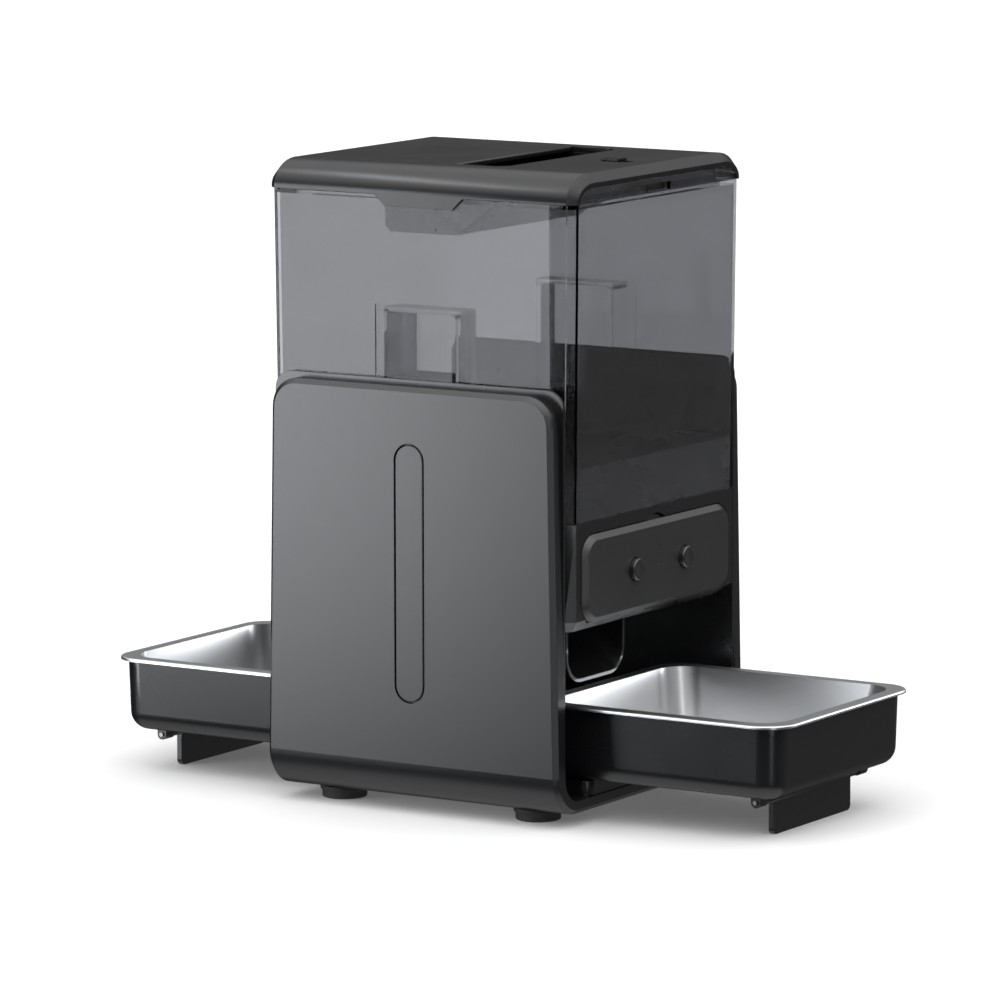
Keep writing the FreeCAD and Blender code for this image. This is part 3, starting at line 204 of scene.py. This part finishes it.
floorPaint, tree, shader, place = newMaterial("matteFloorPaint", {
    "Roughness": 0.9, "Specular IOR Level": 0.0, "Emission Color": (1, 1, 1, 1), "Emission Strength": 0.1})
cloud = addNode(tree, "ShaderNodeTexNoise", {"Scale": perMetre(900)}, {"Vector": place})
tree.links.new(mixColours(tree, cloud.outputs[0], "#f0f0f0", "#f4f4f4"), shader.inputs["Base Color"])
bm = bmesh.new()
bmesh.ops.create_circle(bm, cap_ends=True, segments=96, radius=studio["floorRadius"])
stagePiece("floor", bm, floorPaint)

domePaint, tree, shader, place = newMaterial("whiteDome", {
    "Base Color": (0, 0, 0, 1), "Specular IOR Level": 0.0, "Emission Color": (1, 1, 1, 1),
    "Emission Strength": 1.0})
bm = bmesh.new()
bmesh.ops.create_icosphere(bm, subdivisions=4, radius=studio["domeRadius"])
stagePiece("dome", bm, domePaint)

world = bpy.data.worlds.new("studio")
world.use_nodes = True
bpy.context.scene.world = world
tree = world.node_tree
tree.nodes.clear()
direction = addNode(tree, "ShaderNodeTexCoord").outputs["Generated"]
height = addNode(tree, "ShaderNodeSeparateXYZ", links={"Vector": direction}).outputs["Z"]
brightest = max(value for _, value in studio["surround"])
across = addNode(tree, "ShaderNodeMapRange", {"From Min": -1.0, "From Max": 1.0}, {"Value": height})
bands = addNode(tree, "ShaderNodeValToRGB", links={"Fac": across.outputs[0]})
stops = bands.color_ramp.elements
for index, (z, value) in enumerate(studio["surround"]):
    spot = (z + 1) / 2
    stop = stops[index] if index < 2 else stops.new(spot)
    stop.position = spot
    stop.color = (value / brightest,) * 3 + (1.0,)
facing = addNode(tree, "ShaderNodeVectorMath", {"operation": "DOT_PRODUCT", 1: studio["backFrom"]},
                 {0: direction})
glow = addNode(tree, "ShaderNodeMapRange", {"From Min": 0.3, "From Max": 1.0, "To Max": studio["backGlow"]},
               {"Value": facing.outputs["Value"]})
away = addNode(tree, "ShaderNodeVectorMath", {"operation": "DOT_PRODUCT", 1: studio["farFrom"]},
               {0: direction})
dim = addNode(tree, "ShaderNodeMapRange", {"From Min": -0.1, "From Max": 0.5, "To Min": brightest,
                                           "To Max": brightest * studio["farDim"]},
              {"Value": away.outputs["Value"]})
strength = addNode(tree, "ShaderNodeMath", {"operation": "MULTIPLY_ADD"},
                   {0: bands.outputs[0], 1: dim.outputs[0], 2: glow.outputs[0]})
surround = addNode(tree, "ShaderNodeBackground", {"Color": (1, 1, 1, 1)}, {"Strength": strength.outputs[0]})
addNode(tree, "ShaderNodeOutputWorld", links={"Surface": surround.outputs[0]})

softBoxes = {
    "leftFront": {"at": (-0.96, -1.08, 0.14), "size": (0.72, 0.64), "power": 7.8},
    "cornerStrip": {"at": (1.6, -1.2, 0.2), "size": (0.12, 1.3), "power": 2},
    "lidStrip": {"at": (-0.79, -0.43, 1.5), "size": (1.0, 0.16), "power": 3.0, "only": "lid"},
    # two low fills for the bowls
    "bowlFront": {"at": (-0.55, -1.4, 0.45), "size": (1.5, 0.9), "power": 7.5, "only": "bowls"},
    "bowlRear": {"at": (1.0, 1.4, 0.5), "size": (1.2, 0.8), "power": 12.0, "only": "bowls"},
}
reached = {"bowls": ("bowl_right", "bowl_left"), "lid": ("lid_shell", "handle_plate")}
receivers = {}
for group, names in reached.items():
    receivers[group] = bpy.data.collections.new(group + "Only")
    for name in names:
        receivers[group].objects.link(nodes[name])
for name, box in softBoxes.items():
    lamp = bpy.data.lights.new(name, "AREA")
    lamp.shape = "RECTANGLE"
    lamp.size, lamp.size_y = box["size"]
    lamp.energy = box["power"]
    lamp.color = toLinear("#f8fbff")[:3]
    lampObject = bpy.data.objects.new(name, lamp)
    lampObject.location = box["at"]
    aim = Vector((0.0, 0.0, 0.15)) - Vector(box["at"])
    lampObject.rotation_euler = aim.to_track_quat("-Z", "Y").to_euler()
    lampObject.visible_camera = False
    if "only" in box:
        lampObject.light_linking.receiver_collection = receivers[box["only"]]
    bpy.context.scene.collection.objects.link(lampObject)

cameraView = {
    "turn": 32.106, "tilt": 8.382, "roll": -0.103, "distance": 3.306479,
    "aside": -0.003611, "height": 0.146191, "lens": 237.35,
}
turn, tilt, roll = (math.radians(cameraView[k]) for k in ("turn", "tilt", "roll"))
ahead = Vector((-math.sin(turn) * math.cos(tilt), math.cos(turn) * math.cos(tilt), -math.sin(tilt)))
level = Vector((math.cos(turn), math.sin(turn), 0.0))
upright = level.cross(ahead)
sideways = math.cos(roll) * level + math.sin(roll) * upright
upwards = -math.sin(roll) * level + math.cos(roll) * upright
aimedAt = level * cameraView["aside"] + Vector((0, 0, cameraView["height"]))
standpoint = aimedAt - ahead * cameraView["distance"]
lens = bpy.data.cameras.new("camera")
lens.lens = cameraView["lens"]
lens.sensor_width = 36.0
camera = bpy.data.objects.new("camera", lens)
camera.matrix_world = Matrix((
    (sideways.x, upwards.x, -ahead.x, standpoint.x),
    (sideways.y, upwards.y, -ahead.y, standpoint.y),
    (sideways.z, upwards.z, -ahead.z, standpoint.z),
    (0, 0, 0, 1)))
bpy.context.scene.collection.objects.link(camera)
bpy.context.scene.camera = camera
bpy.context.scene.view_settings.view_transform = "Standard"
print("studio ready")
